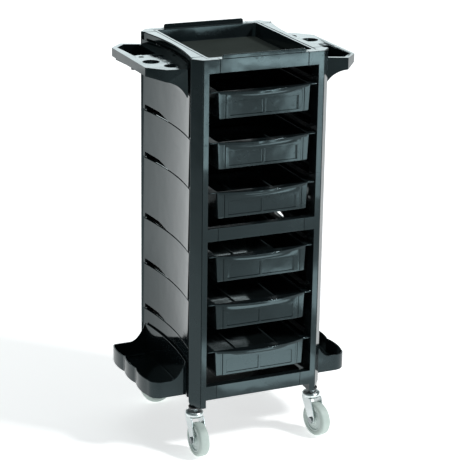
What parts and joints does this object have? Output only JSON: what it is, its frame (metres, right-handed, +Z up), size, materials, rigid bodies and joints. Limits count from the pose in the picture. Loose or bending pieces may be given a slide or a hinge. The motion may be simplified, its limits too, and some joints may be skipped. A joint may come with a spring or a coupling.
{
  "type": "spa trolley cart",
  "caption": "Tall salon trolley on castors with sliding drawers in a post frame, recessed top tray, hook-on tool holders and open lower side trays.",
  "frame": {"origin": "on the floor under the middle of the body, which is the bottom centre of the bounding box at rest", "axes": "+X to the cart's right seen from the front, +Y from front to back, +Z up"},
  "size_m": [0.476, 0.3972, 0.878],
  "materials": {
    "gloss_black": "polished",
    "satin_black": "satin",
    "mat": "matte",
    "socket": "satin",
    "steel": "satin",
    "zinc": "bright plated",
    "hub": "satin",
    "tyre": "matte"
  },
  "bodies": {
    "cabinet": {"base_plate": "satin_black", "castor_sockets": "socket", "castor_stems": "steel", "crossbar_front_bottom": "gloss_black", "crossbar_front_middle": "gloss_black", "crossbar_front_top": "gloss_black", "crossbar_rear_bottom": "gloss_black", "crossbar_rear_middle": "gloss_black", "crossbar_rear_top": "gloss_black", "lower_tray_left": "gloss_black", "lower_tray_right": "gloss_black", "post_front_left": "gloss_black", "post_front_right": "gloss_black", "post_rear_left": "gloss_black", "post_rear_right": "gloss_black", "runner_1_left": "satin_black", "runner_1_right": "satin_black", "runner_2_left": "satin_black", "runner_2_right": "satin_black", "runner_3_left": "satin_black", "runner_3_right": "satin_black", "runner_4_left": "satin_black", "runner_4_right": "satin_black", "runner_5_left": "satin_black", "runner_5_right": "satin_black", "runner_6_left": "satin_black", "runner_6_right": "satin_black", "side_panel_left": "gloss_black", "side_panel_right": "gloss_black", "side_rail_left": "gloss_black", "side_rail_right": "gloss_black", "top_tray": "gloss_black", "tray_mat": "mat", "upper_holder_left": "gloss_black", "upper_holder_right": "gloss_black"},
    "drawer_1": {"drawer_1": "gloss_black"},
    "drawer_2": {"drawer_2": "gloss_black"},
    "drawer_3": {"drawer_3": "gloss_black"},
    "drawer_4": {"drawer_4": "gloss_black"},
    "drawer_5": {"drawer_5": "gloss_black"},
    "drawer_6": {"drawer_6": "gloss_black"},
    "castor_front_left_swivel": {"castor_front_left_fork": "zinc", "castor_front_left_axle": "steel"},
    "castor_front_left_roller": {"castor_front_left_wheel": "hub", "castor_front_left_tyre": "tyre"},
    "castor_front_right_swivel": {"castor_front_right_fork": "zinc", "castor_front_right_axle": "steel"},
    "castor_front_right_roller": {"castor_front_right_wheel": "hub", "castor_front_right_tyre": "tyre"},
    "castor_rear_left_swivel": {"castor_rear_left_fork": "zinc", "castor_rear_left_axle": "steel"},
    "castor_rear_left_roller": {"castor_rear_left_wheel": "hub", "castor_rear_left_tyre": "tyre"},
    "castor_rear_right_swivel": {"castor_rear_right_fork": "zinc", "castor_rear_right_axle": "steel"},
    "castor_rear_right_roller": {"castor_rear_right_wheel": "hub", "castor_rear_right_tyre": "tyre"}
  },
  "joints": [
    {"name": "drawer_1_slide", "type": "slide", "parent": "cabinet", "child": "drawer_1", "axis": [0, -1, 0], "range_m": [0, 0.24]},
    {"name": "drawer_2_slide", "type": "slide", "parent": "cabinet", "child": "drawer_2", "axis": [0, -1, 0], "range_m": [0, 0.24]},
    {"name": "drawer_3_slide", "type": "slide", "parent": "cabinet", "child": "drawer_3", "axis": [0, -1, 0], "range_m": [0, 0.24]},
    {"name": "drawer_4_slide", "type": "slide", "parent": "cabinet", "child": "drawer_4", "axis": [0, -1, 0], "range_m": [0, 0.24]},
    {"name": "drawer_5_slide", "type": "slide", "parent": "cabinet", "child": "drawer_5", "axis": [0, -1, 0], "range_m": [0, 0.24]},
    {"name": "drawer_6_slide", "type": "slide", "parent": "cabinet", "child": "drawer_6", "axis": [0, -1, 0], "range_m": [0, 0.24]},
    {"name": "castor_front_left_swivel_joint", "type": "hinge", "parent": "cabinet", "child": "castor_front_left_swivel", "pos_m": [-0.14, -0.139, 0.0975], "axis": [0, 0, 1], "continuous": true},
    {"name": "castor_front_left_wheel_spin", "type": "hinge", "parent": "castor_front_left_swivel", "child": "castor_front_left_roller", "pos_m": [-0.13923, -0.16099, 0.0375], "axis": [0.9994, 0.0349, 0], "continuous": true},
    {"name": "castor_front_right_swivel_joint", "type": "hinge", "parent": "cabinet", "child": "castor_front_right_swivel", "pos_m": [0.14, -0.139, 0.0975], "axis": [0, 0, 1], "continuous": true},
    {"name": "castor_front_right_wheel_spin", "type": "hinge", "parent": "castor_front_right_swivel", "child": "castor_front_right_roller", "pos_m": [0.14457, -0.16052, 0.0375], "axis": [0.9781, 0.2079, 0], "continuous": true},
    {"name": "castor_rear_left_swivel_joint", "type": "hinge", "parent": "cabinet", "child": "castor_rear_left_swivel", "pos_m": [-0.14, 0.139, 0.0975], "axis": [0, 0, 1], "continuous": true},
    {"name": "castor_rear_left_wheel_spin", "type": "hinge", "parent": "castor_rear_left_swivel", "child": "castor_rear_left_roller", "pos_m": [-0.118, 0.139, 0.0375], "axis": [0, 1, 0], "continuous": true},
    {"name": "castor_rear_right_swivel_joint", "type": "hinge", "parent": "cabinet", "child": "castor_rear_right_swivel", "pos_m": [0.14, 0.139, 0.0975], "axis": [0, 0, 1], "continuous": true},
    {"name": "castor_rear_right_wheel_spin", "type": "hinge", "parent": "castor_rear_right_swivel", "child": "castor_rear_right_roller", "pos_m": [0.13543, 0.16052, 0.0375], "axis": [-0.9781, -0.2079, 0], "continuous": true}
  ]
}
